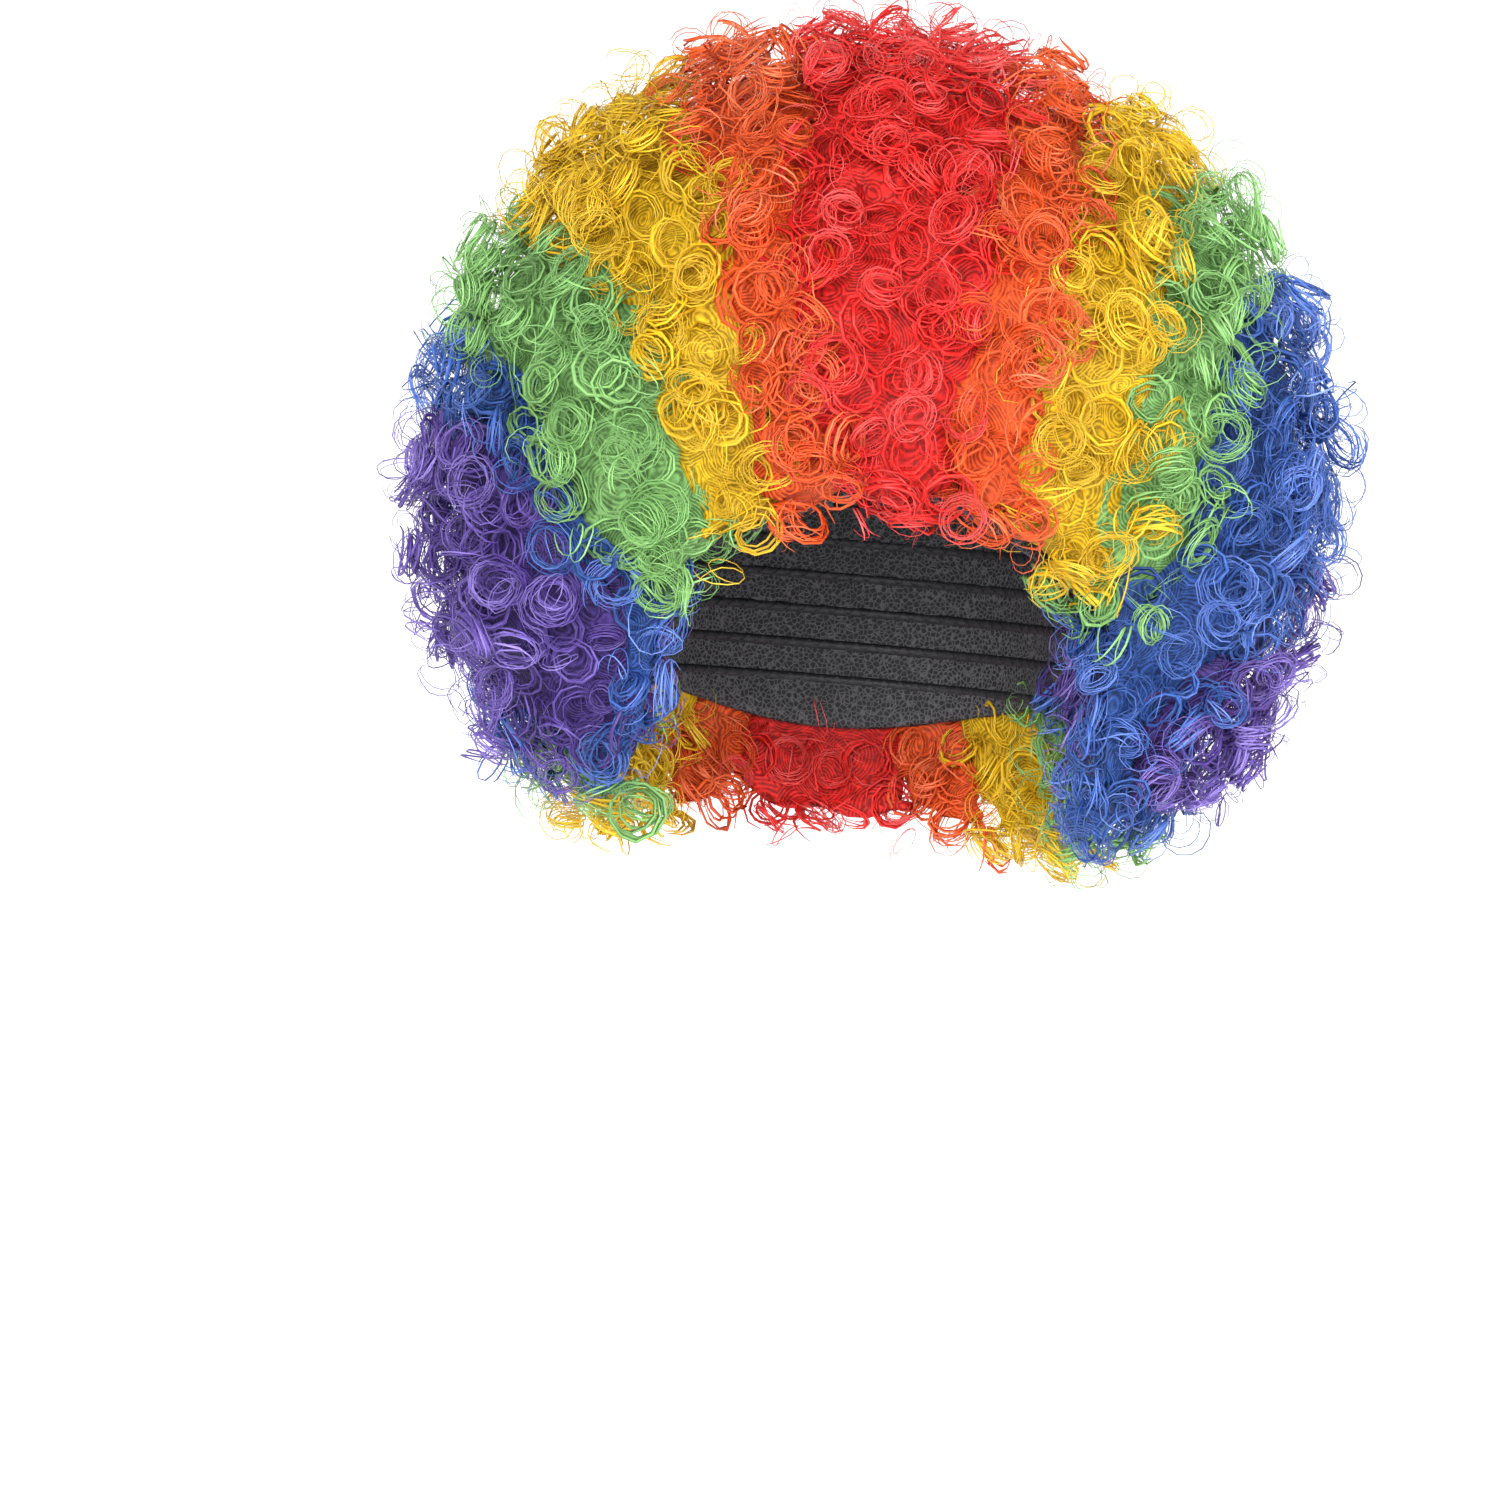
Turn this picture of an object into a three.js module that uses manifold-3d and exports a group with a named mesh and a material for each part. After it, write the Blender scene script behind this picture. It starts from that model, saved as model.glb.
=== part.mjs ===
// Rainbow afro wig: a stretch net cap with eleven bands of curly hair sewn to it.
// Millimetres, +Z up, the face side towards -Y. The origin is where the crown touches the cap.
// Each band of hair is the solid of its outer form, from the cap out to the tips of the curls.

import * as THREE from 'three';
import { ParametricGeometry } from 'three/addons/geometries/ParametricGeometry.js';
import { mergeVertices } from 'three/addons/utils/BufferGeometryUtils.js';
import Module from 'manifold-3d';

const wasm = await Module();
wasm.setup();

// The hollow that the head fills: half sizes, and how square its sections are (2 is an ellipsoid)
const HEAD = { halfWidth: 77, front: 95, back: 103, halfHeight: 112, squareness: 2.4 };
const HEAD_CENTRE = new THREE.Vector3(0, 0, -HEAD.halfHeight);

// The net cap, its hem, and the gap between the net and the hair
const CAP_WALL = 2;
const HEM = { extraWall: 1, start: 0.92 };
const ROOT_GAP = 1.5;
const CAP_STEPS_ROUND = 40;
const CAP_STEPS_DOWN = 11;

// The rim of the cap: its angle down from the crown, at each azimuth from the face round to the nape
const CAP_RIM = [
  { azimuth: 0, down: 58 },
  { azimuth: 45, down: 71 },
  { azimuth: 90, down: 92 },
  { azimuth: 135, down: 104 },
  { azimuth: 180, down: 109 },
  { azimuth: 225, down: 104 },
  { azimuth: 270, down: 92 },
  { azimuth: 315, down: 71 },
];

// The round puff of hair: half sizes about its own centre, and its flat underside
const PUFF = { halfWidth: 166, front: 152, back: 161, halfHeight: 165, centreZ: -53, undersideZ: -182 };

// The underside turns up into the sides round this level, with this sharpness of turn
const TURN_UP = { level: -192, sharpness: 12 };

// The hair is thin along the hairline and reaches its full depth some way back from the face
const HAIRLINE = { tiltDown: 14, sideSqueeze: 0.66, edge: 28, full: 58, edgeDepth: 0.4 };

// The openings: an arch for the face, seen from the front, and a round hole for the neck
const FACE = { topZ: -64, widestZ: -108, halfWidth: 72, lowHalfWidth: 90 };
const NECK = { halfWidth: 78, halfDepth: 88, centreY: 4, topZ: -140 };
const CUT_REACH = 300;
const ARC_STEPS = 12;

// Bands of hair from the middle outwards, with the number of strips across each
const BANDS = [
  { name: 'red', color: 0xdf3430, strips: 5 },
  { name: 'orange', color: 0xf06031, strips: 4 },
  { name: 'yellow', color: 0xefb52e, strips: 5 },
  { name: 'green', color: 0x7aae5f, strips: 4 },
  { name: 'blue', color: 0x3b56a1, strips: 4 },
  { name: 'purple', color: 0x4c3c84, strips: 6 },
];
const SIDES = [
  { name: 'left', sign: -1 },
  { name: 'right', sign: 1 },
];
const EAR_ANGLE = 90;

// The outer edge of each band but the last, as an angle from the middle plane of the head.
// Round runs from straight ahead (0) over the crown (90) to the back (180) and under the ear (270).
const BAND_EDGES = {
  left: [
    { round: 0, red: 8, orange: 23, yellow: 31, green: 40, blue: 50 },
    { round: 20, red: 9, orange: 23, yellow: 31, green: 48, blue: 54 },
    { round: 35, red: 12, orange: 22, yellow: 34, green: 51, blue: 56 },
    { round: 50, red: 15, orange: 23, yellow: 32, green: 54, blue: 61 },
    { round: 75, red: 12, orange: 23, yellow: 44, green: 58, blue: 66 },
    { round: 100, red: 10, orange: 21, yellow: 42, green: 57, blue: 66 },
    { round: 150, red: 11, orange: 20, yellow: 36, green: 50, blue: 64 },
    { round: 225, red: 16, orange: 31, yellow: 50, green: 62, blue: 72 },
    { round: 270, red: 20, orange: 40, yellow: 60, green: 67, blue: 74 },
    { round: 320, red: 12, orange: 26, yellow: 37, green: 45, blue: 52 },
  ],
  right: [
    { round: 0, red: 12, orange: 27, yellow: 36, green: 41, blue: 62 },
    { round: 20, red: 11, orange: 24, yellow: 36, green: 45, blue: 69 },
    { round: 35, red: 5, orange: 16, yellow: 30, green: 43, blue: 74 },
    { round: 50, red: 7, orange: 16, yellow: 28, green: 42, blue: 74 },
    { round: 75, red: 10, orange: 17, yellow: 28, green: 39, blue: 71 },
    { round: 100, red: 12, orange: 20, yellow: 31, green: 44, blue: 70 },
    { round: 150, red: 11, orange: 20, yellow: 35, green: 49, blue: 66 },
    { round: 225, red: 16, orange: 31, yellow: 50, green: 62, blue: 72 },
    { round: 270, red: 20, orange: 38, yellow: 54, green: 62, blue: 70 },
    { round: 320, red: 13, orange: 25, yellow: 34, green: 41, blue: 54 },
  ],
};
const BAND_GAP = 0.4;
const BAND_STEPS_ROUND = 36;

// The bands are pillowed: a groove runs along each edge, and low swells run along the band
const GROOVE = { depth: 3, halfWidth: 2.6 };
const SWELL = { depth: 2.5, waves: 7 };

const FIBRE_ROUGHNESS = 0.5;
const NET = { color: 0x2a2a2e, roughness: 0.9 };

const WELD_DISTANCE = 1e-3;
const radians = THREE.MathUtils.degToRad;

// A smooth closed curve through a table's rows: the value of one column at an angle
function columnAt(rows, key, column, angle) {
  const turn = THREE.MathUtils.euclideanModulo(angle, 360);
  const count = rows.length;
  const after = rows.findIndex((row) => row[key] > turn);
  const from = (after < 0 ? count : after) - 1;
  const at = (offset) => rows[(from + offset + count) % count];
  const span = THREE.MathUtils.euclideanModulo(at(1)[key] - at(0)[key], 360);
  const t = (turn - at(0)[key]) / span;
  const eased = t * t * (3 - 2 * t);
  return THREE.MathUtils.lerp(at(0)[column], at(1)[column], eased);
}

// How far the head's surface, moved out by an offset, lies from the head's centre
function headRadius(direction, offset) {
  const depth = direction.y < 0 ? HEAD.front : HEAD.back;
  const sum =
    Math.pow(Math.abs(direction.x) / (HEAD.halfWidth + offset), HEAD.squareness) +
    Math.pow(Math.abs(direction.y) / (depth + offset), HEAD.squareness) +
    Math.pow(Math.abs(direction.z) / (HEAD.halfHeight + offset), HEAD.squareness);
  return Math.pow(sum, -1 / HEAD.squareness);
}

// How far the puff's ellipsoid lies from the head's centre
function ellipsoidRadius(direction) {
  const depth = direction.y < 0 ? PUFF.front : PUFF.back;
  const drop = HEAD_CENTRE.z - PUFF.centreZ;
  const a =
    (direction.x / PUFF.halfWidth) ** 2 +
    (direction.y / depth) ** 2 +
    (direction.z / PUFF.halfHeight) ** 2;
  const b = (2 * drop * direction.z) / PUFF.halfHeight ** 2;
  const c = (drop / PUFF.halfHeight) ** 2 - 1;
  return (-b + Math.sqrt(b * b - 4 * a * c)) / (2 * a);
}

// The ellipsoid with its underside turned in
function puffRadius(direction) {
  const round = ellipsoidRadius(direction);
  if (direction.z >= 0) return round;
  const flat = (TURN_UP.level - HEAD_CENTRE.z) / direction.z;
  const sum = Math.pow(round, -TURN_UP.sharpness) + Math.pow(flat, -TURN_UP.sharpness);
  return Math.pow(sum, -1 / TURN_UP.sharpness);
}

// Share of the full depth of hair: small along the hairline, 1 away from the face
function depthShare(direction) {
  const tilt = radians(HAIRLINE.tiltDown);
  const ahead = -direction.y * Math.cos(tilt) - direction.z * Math.sin(tilt);
  const up = direction.z * Math.cos(tilt) - direction.y * Math.sin(tilt);
  const aside = direction.x * HAIRLINE.sideSqueeze;
  const angle = THREE.MathUtils.radToDeg(Math.atan2(Math.hypot(up, aside), ahead));
  const rise = THREE.MathUtils.smoothstep(angle, HAIRLINE.edge, HAIRLINE.full);
  return THREE.MathUtils.lerp(HAIRLINE.edgeDepth, 1, rise);
}

// A direction from the head's centre: round the ear-to-ear axis, then aside from the middle plane
function hairDirection(round, aside) {
  const turn = radians(round);
  const lean = radians(aside);
  return new THREE.Vector3(
    Math.sin(lean),
    -Math.cos(lean) * Math.cos(turn),
    Math.cos(lean) * Math.sin(turn),
  );
}

// Every piece is a closed surface: the faces that shrink to nothing at its poles are dropped,
// and the rest are turned to face out
function closedSolid(surface) {
  surface.deleteAttribute('normal');
  surface.deleteAttribute('uv');
  const merged = mergeVertices(surface, WELD_DISTANCE);
  const corners = merged.index.array;
  const faces = [];
  for (let i = 0; i < corners.length; i += 3) {
    const [a, b, c] = corners.slice(i, i + 3);
    if (a !== b && b !== c && c !== a) faces.push(a, b, c);
  }
  const vertProperties = Float32Array.from(merged.getAttribute('position').array);
  const solidOf = (triVerts) =>
    new wasm.Manifold(new wasm.Mesh({ numProp: 3, vertProperties, triVerts: Uint32Array.from(triVerts) }));
  const solid = solidOf(faces);
  return solid.volume() > 0 ? solid : solidOf(faces.reverse());
}

function namedMesh(name, solid, color, roughness) {
  const { vertProperties, triVerts } = solid.getMesh();
  const geometry = new THREE.BufferGeometry();
  geometry.setAttribute('position', new THREE.BufferAttribute(vertProperties, 3));
  geometry.setIndex(new THREE.BufferAttribute(triVerts, 1));
  geometry.computeVertexNormals();
  const mesh = new THREE.Mesh(geometry, new THREE.MeshStandardMaterial({ color, roughness, metalness: 0 }));
  mesh.name = name;
  return mesh;
}

// The wall of the cap from the crown down its inside, round the hem and up its outside:
// how far along from crown to rim, and how far out from the head
function capSection() {
  const down = Array.from({ length: CAP_STEPS_DOWN }, (_, i) => (HEM.start * i) / (CAP_STEPS_DOWN - 1));
  const inside = down.map((along) => ({ along, offset: 0 }));
  const hem = [
    { along: (HEM.start + 1) / 2, offset: -HEM.extraWall },
    { along: 1, offset: -HEM.extraWall },
    { along: 1, offset: CAP_WALL },
  ];
  const outside = down.map((along) => ({ along, offset: CAP_WALL })).reverse();
  return [...inside, ...hem, ...outside];
}

function makeCap() {
  const section = capSection();
  const stacks = section.length - 1;
  const place = (u, v, target) => {
    const azimuth = 360 * u;
    const { along, offset } = section[Math.round(v * stacks)];
    const down = along * columnAt(CAP_RIM, 'azimuth', 'down', azimuth);
    const direction = new THREE.Vector3(
      Math.sin(radians(down)) * Math.sin(radians(azimuth)),
      -Math.sin(radians(down)) * Math.cos(radians(azimuth)),
      Math.cos(radians(down)),
    );
    target.copy(HEAD_CENTRE).addScaledVector(direction, headRadius(direction, offset));
  };
  const solid = closedSolid(new ParametricGeometry(place, CAP_STEPS_ROUND, stacks));
  return namedMesh('cap', solid, NET.color, NET.roughness);
}

// The inner and outer edge of a band on one side; the red band runs across the middle
function bandEdges(index, side, round) {
  const edge = (which, sideName) => columnAt(BAND_EDGES[sideName], 'round', BANDS[which].name, round);
  const inner = index === 0 ? -edge(0, 'left') : edge(index - 1, side.name);
  const isLast = index === BANDS.length - 1;
  const outer = isLast ? EAR_ANGLE : edge(index, side.name);
  return { inner: inner + BAND_GAP / 2, outer: isLast ? outer : outer - BAND_GAP / 2, isLast };
}

// How far the band's own pillow form lies under or over the puff
function pillow(edges, aside, round) {
  const dip = (distance) => Math.exp(-((distance / GROOVE.halfWidth) ** 2));
  const groove = dip(aside - edges.inner) + (edges.isLast ? 0 : dip(edges.outer - aside));
  const swell = Math.sin(radians(round * SWELL.waves + aside * SWELL.waves)) * Math.cos(radians(aside));
  return swell * SWELL.depth - groove * GROOVE.depth;
}

// A whole ring of hair round the ear-to-ear axis, before the face and neck are cut out of it
function makeBandRing(index, side) {
  const strips = BANDS[index].strips;
  const rows = 2 * strips + 2;
  const place = (u, v, target) => {
    const round = 360 * u;
    const edges = bandEdges(index, side, round);
    const row = Math.round(v * rows) % rows;
    const isOuter = row <= strips;
    const step = isOuter ? row : rows - 1 - row;
    const aside = THREE.MathUtils.lerp(edges.inner, edges.outer, step / strips);
    const direction = hairDirection(round, aside);
    direction.x *= side.sign;
    const root = headRadius(direction, CAP_WALL + ROOT_GAP);
    const depth = (puffRadius(direction) - root) * depthShare(direction) + pillow(edges, aside, round);
    const radius = isOuter ? root + Math.max(depth, ROOT_GAP) : root;
    target.copy(HEAD_CENTRE).addScaledVector(direction, radius);
  };
  return closedSolid(new ParametricGeometry(place, BAND_STEPS_ROUND, rows));
}

function faceOpening() {
  const arch = new THREE.Shape();
  arch.moveTo(-FACE.lowHalfWidth, -CUT_REACH);
  arch.lineTo(-FACE.halfWidth, FACE.widestZ);
  arch.absellipse(0, FACE.widestZ, FACE.halfWidth, FACE.topZ - FACE.widestZ, Math.PI, 0, true);
  arch.lineTo(FACE.lowHalfWidth, -CUT_REACH);
  arch.closePath();
  const sweep = { depth: CUT_REACH, bevelEnabled: false, curveSegments: ARC_STEPS };
  const prism = new THREE.ExtrudeGeometry(arch, sweep);
  return closedSolid(prism.rotateX(Math.PI / 2));
}

function neckOpening() {
  const round = new THREE.Shape();
  round.absellipse(0, NECK.centreY, NECK.halfWidth, NECK.halfDepth, 0, 2 * Math.PI);
  const sweep = { depth: CUT_REACH + NECK.topZ, bevelEnabled: false, curveSegments: ARC_STEPS };
  const prism = new THREE.ExtrudeGeometry(round, sweep);
  return closedSolid(prism.translate(0, 0, -CUT_REACH));
}

function belowUnderside() {
  const height = CUT_REACH + PUFF.undersideZ;
  const slab = new THREE.BoxGeometry(2 * CUT_REACH, 2 * CUT_REACH, height);
  return closedSolid(slab.translate(0, 0, PUFF.undersideZ - height / 2));
}

// Slivers that the cuts leave beside the openings are dropped
function largestBody(solid) {
  const bodies = solid.decompose();
  return bodies.reduce((best, body) => (body.volume() > best.volume() ? body : best));
}

function makeHair(index, side, name, cuts) {
  const whole = cuts.reduce((ring, cut) => ring.subtract(cut), makeBandRing(index, side));
  return namedMesh(name, largestBody(whole), BANDS[index].color, FIBRE_ROUGHNESS);
}

function makeWig() {
  const wig = new THREE.Group();
  wig.add(makeCap());
  const cuts = [faceOpening(), neckOpening(), belowUnderside()];
  wig.add(makeHair(0, SIDES[1], `hair_${BANDS[0].name}`, cuts));
  for (const side of SIDES) {
    for (let index = 1; index < BANDS.length; index += 1) {
      wig.add(makeHair(index, side, `hair_${BANDS[index].name}_${side.name}`, cuts));
    }
  }
  return wig;
}

export default makeWig();
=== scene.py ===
"""Dresses the solids of a rainbow afro wig: a net cap, and eleven bands of ringlets in six colours."""
import math

import bmesh
import bpy
from bpy.props import FloatProperty, FloatVectorProperty, IntProperty, PointerProperty
from mathutils import Matrix, Vector
from mathutils.bvhtree import BVHTree


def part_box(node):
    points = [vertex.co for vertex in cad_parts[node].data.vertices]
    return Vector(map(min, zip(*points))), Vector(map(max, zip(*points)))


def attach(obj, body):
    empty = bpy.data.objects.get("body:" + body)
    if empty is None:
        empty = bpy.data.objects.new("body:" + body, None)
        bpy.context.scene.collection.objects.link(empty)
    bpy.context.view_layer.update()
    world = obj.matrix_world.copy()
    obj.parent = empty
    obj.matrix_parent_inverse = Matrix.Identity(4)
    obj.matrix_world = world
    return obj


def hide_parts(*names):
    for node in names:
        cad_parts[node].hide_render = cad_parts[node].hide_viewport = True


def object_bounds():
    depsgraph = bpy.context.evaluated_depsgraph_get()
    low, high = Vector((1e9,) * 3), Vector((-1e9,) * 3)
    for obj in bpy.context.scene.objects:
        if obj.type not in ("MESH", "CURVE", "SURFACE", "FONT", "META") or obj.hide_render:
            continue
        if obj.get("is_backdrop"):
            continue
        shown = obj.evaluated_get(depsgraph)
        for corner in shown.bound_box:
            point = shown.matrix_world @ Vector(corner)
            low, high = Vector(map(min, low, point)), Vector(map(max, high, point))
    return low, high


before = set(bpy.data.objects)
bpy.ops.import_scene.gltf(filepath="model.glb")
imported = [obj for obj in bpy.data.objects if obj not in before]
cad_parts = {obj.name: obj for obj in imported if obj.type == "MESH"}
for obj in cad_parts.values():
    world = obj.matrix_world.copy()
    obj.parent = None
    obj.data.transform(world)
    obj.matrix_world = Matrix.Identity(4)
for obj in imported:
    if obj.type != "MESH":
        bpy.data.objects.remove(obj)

bl_info = {
    "name": "Rainbow afro wig",
    "version": (1, 0, 0),
    "blender": (4, 5, 0),
    "location": "3D View > Sidebar > Wig",
    "description": "Makes the net cap and the bands of ringlets of a rainbow afro wig",
    "category": "Object",
}

MM = 0.001
BODY = "root"

# The bands of hair, one for each node whose name starts with hair, and the colours in their names
HAIR_NODES = [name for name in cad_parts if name.startswith("hair_")]
COLOURS = ["red", "orange", "yellow", "green", "blue", "purple"]
SCATTER_SEED = 11

# The bake map: the left half holds swatches of fibre side by side, the right half the undercoat
BAKE_MAP = "OFBake"
SWATCHES = 8
SWATCH_SPREAD = 3
SWATCH_MARGIN = 0.06

# Names of the attributes that the node trees hand on to each other
AIR = "air"
COVER = "cover"
ROOM = "room"
INWARD = "inward"
RINGLET_MARKS = ["ring_way", "ring_size", "ring_loose", "ring_rise", "ring_swatch"]
STRAND_MARKS = ["swatch", "strand", "along", "across"]
HELPERS = [AIR, COVER, ROOM, INWARD, *RINGLET_MARKS, *STRAND_MARKS]

# How far a face looks for a piece in front of it, and how near the outside a vertex counts as open
LOOK_AHEAD = 12.0 * MM
OPEN_REACH = 4.0 * MM

# The most of the hair's thickness that the undercoat may sink, how near it may come to the cap, and how
# often its points are evened out with their neighbours
SINK_SHARE = 0.45
CAP_CLEAR = 4.0 * MM
EVENING = 3

# How deep the undercoats of two bands close up to each other, how far each swells to do so, and how far
# the seam between them swerves
SEAM_DEPTH = 30.0 * MM
SEAM_SWELL = 3.0 * MM
SEAM_SWERVE = 18.0 * MM

# How far the seeds of the other layers lie from that of the ringlets
INNER_SEED = 100.0
FRIZZ_SEED = 200.0
STRAY_SEED = 300.0

# How many points are tried on a square of the ringlets' spacing, and how much of their straying in and
# out is taken back
CROWDING = 3.0
FLATNESS = 0.6

# The ranges of a ringlet's size, looseness and rise, and of the size and rise of its strands
RING_SIZES = (0.8, 1.2)
RING_LOOSENESS = (0.3, 2.2)
RING_RISES = (0.3, 2.0)
STRAND_SIZES = (0.68, 1.08)
STRAND_RISES = (0.6, 1.4)

# How far a strand lies from its place, in radii, and leans, in radians, in a ringlet of looseness 1, and
# its radius at the end and its width at both ends against those that it has elsewhere
STRAND_SHIFT = 0.08
STRAND_LEAN = 0.12
STRAND_CLOSING = 0.76
STRAND_TIP = 0.25

# How fine the noises are that shape the hair, in swells a metre
RINGLET_SWELLS = 62.0
STRAND_SWELLS = 70.0
LUMP_SWELLS = 70.0
SWERVE_SWELLS = 36.0

# The look of a strand: hairs across it, changes along it, and the step from swatch to swatch
HAIRS_ACROSS = 11.0
CHANGES_ALONG = 4.0
SWATCH_STEP = 3.7

# The look of the undercoat: whorls of hair a metre, how close their lines are, and how strong, and the
# swells a metre of the fluff between them and of the noise that bends them
WHORLS = 62.0
WHORL_LINES = 90.0
WHORL_STRENGTH = 0.18
FLUFF_SWELLS = 400.0
BEND_SWELLS = 80.0
BEND_REACH = 4.0 * MM

# The studio's lights: where each stands, how wide it is, and its power in watts
LIGHTS = [
    {"name": "key", "place": (-0.7, -2.3, 0.4), "size": 1.4, "power": 80.0},
    {"name": "fill", "place": (1.5, -1.9, 0.1), "size": 1.6, "power": 52.0},
    {"name": "back", "place": (0.3, 2.4, 0.6), "size": 1.6, "power": 40.0},
]


def length(name, description, default):
    """A size in metres that a user may change."""
    return FloatProperty(name=name, description=description, default=default, unit="LENGTH", precision=4)


def angle(name, description, degrees):
    """An angle that a user may change."""
    return FloatProperty(
        name=name, description=description, default=math.radians(degrees), subtype="ANGLE"
    )


def count(name, description, default):
    """A whole number that a user may change."""
    return IntProperty(name=name, description=description, default=default, min=1)


def factor(name, description, default):
    """A plain number that a user may change."""
    return FloatProperty(name=name, description=description, default=default, subtype="FACTOR", min=0.0)


def colour(name, description, default):
    """A colour that a user may change."""
    return FloatVectorProperty(
        name=name, description=description, default=default, subtype="COLOR", size=3, min=0.0, max=1.0
    )


class WigColours(bpy.types.PropertyGroup):
    """The colours of the fibre and of the net."""

    red: colour("Red", "Fibre of the middle band", (0.90, 0.024, 0.020))
    orange: colour("Orange", "Fibre of the second bands", (0.98, 0.115, 0.020))
    yellow: colour("Yellow", "Fibre of the third bands", (0.84, 0.52, 0.015))
    green: colour("Green", "Fibre of the fourth bands", (0.25, 0.52, 0.16))
    blue: colour("Blue", "Fibre of the fifth bands", (0.042, 0.118, 0.44))
    purple: colour("Purple", "Fibre of the bands round the ears", (0.105, 0.055, 0.32))
    net: colour("Net", "Yarn of the cap", (0.050, 0.050, 0.056))
    tape: colour("Tape", "Tape and thread of the sewn rows", (0.022, 0.022, 0.026))


class RingletSizes(bpy.types.PropertyGroup):
    """The sizes of the ringlets."""

    radius: length("Radius", "Radius of a ringlet", 9.4 * MM)
    spacing: length("Spacing", "Least distance between ringlets", 15.5 * MM)
    depth: length("Depth", "How far a ringlet's middle lies under the outer form", 4.0 * MM)
    aside: length("Aside", "How far a ringlet may lie from its place", 10.0 * MM)
    pitch: length("Pitch", "How far a ringlet climbs from end to end", 4.0 * MM)
    wander: length("Wander", "How far a ringlet strays from a true round", 1.5 * MM)
    turns: factor("Turns", "Turns of a strand", 1.0)
    steps: count("Steps", "Steps in a turn", 11)
    tilt: angle("Tilt", "Most that a ringlet leans from facing straight out", 50)
    strands: count("Strands", "Strands in a ringlet", 10)
    width: length("Width", "Half width of a strand", 0.24 * MM)


class InnerSizes(bpy.types.PropertyGroup):
    """The sizes of the ringlets further in, which fill the gaps between the outer ones."""

    radius: length("Radius", "Radius of an inner ringlet", 9.8 * MM)
    spacing: length("Spacing", "Least distance between inner ringlets", 12.5 * MM)
    depth: length("Depth", "How far an inner ringlet's middle lies under the outer form", 9.5 * MM)
    aside: length("Aside", "How far an inner ringlet may lie from its place", 8.0 * MM)
    steps: count("Steps", "Steps in a turn of an inner ringlet", 9)
    tilt: angle("Tilt", "Most that an inner ringlet leans from facing straight out", 45)
    strands: count("Strands", "Flat strands in an inner ringlet", 4)
    width: length("Width", "Half width of a flat strand", 0.9 * MM)
    thickness: length("Thickness", "Half thickness of a flat strand", 0.3 * MM)


class FuzzSizes(bpy.types.PropertyGroup):
    """The sizes of the undercoat and of the single loose hairs."""

    inset: length("Inset", "How far the undercoat lies under the outer form", 16.0 * MM)
    grain: length("Grain", "Size of the undercoat's faces", 7.5 * MM)
    frizz_spacing: length("Frizz spacing", "Least distance between frizzy strands", 13.0 * MM)
    stray_spacing: length("Stray spacing", "Least distance between stray loops", 16.0 * MM)
    stray_lift: length("Stray lift", "How far a stray loop stands off the outer form", 4.5 * MM)
    width: length("Width", "Half width of a loose hair", 0.19 * MM)


class NetSizes(bpy.types.PropertyGroup):
    """The sizes of the net cap's finish."""

    mesh_pitch: length("Mesh", "Distance between the yarns of the net", 1.8 * MM)
    row_spacing: length("Row spacing", "Distance between the sewn rows", 13.0 * MM)
    row_width: length("Row width", "Half width of a row's tape", 1.8 * MM)
    row_thickness: length("Row thickness", "Half thickness of a row's tape", 0.5 * MM)
    stitch_length: length("Stitch", "Length of a stitch along a row", 3.0 * MM)
    thread_width: length("Thread", "Half width of the thread", 0.3 * MM)


class StudioSizes(bpy.types.PropertyGroup):
    """The camera and the studio round the wig."""

    azimuth: angle("Azimuth", "How far the camera stands to the side", -5)
    elevation: angle("Elevation", "How far the camera stands above the wig", 2)
    roll: angle("Roll", "How far the wig leans in the picture", 5)
    distance: length("Distance", "From the camera to the middle of the hair", 2.2)
    picture: length("Picture", "Width of the picture at the wig", 0.5396)
    middle_z: length("Middle", "Height of the middle of the hair", -0.053)
    right: length("Right", "How far the hair's middle lies right of the picture's", 0.045)
    up: length("Up", "How far the hair's middle lies above the picture's", 0.097)
    floor_z: length("Floor", "Height of the studio floor", -2.2)
    cove_width: length("Cove width", "Half width of the floor and backdrop", 8.0)
    cove_front: length("Cove front", "Where the floor starts, in front of the wig", -8.0)
    cove_back: length("Cove back", "Where the backdrop stands, behind the wig", 4.0)
    cove_bend: length("Cove bend", "Radius of the bend between floor and backdrop", 1.2)
    cove_top: length("Cove top", "Height of the backdrop", 6.0)
    sky: factor("Sky", "Strength of the light from all round", 0.7)


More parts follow.
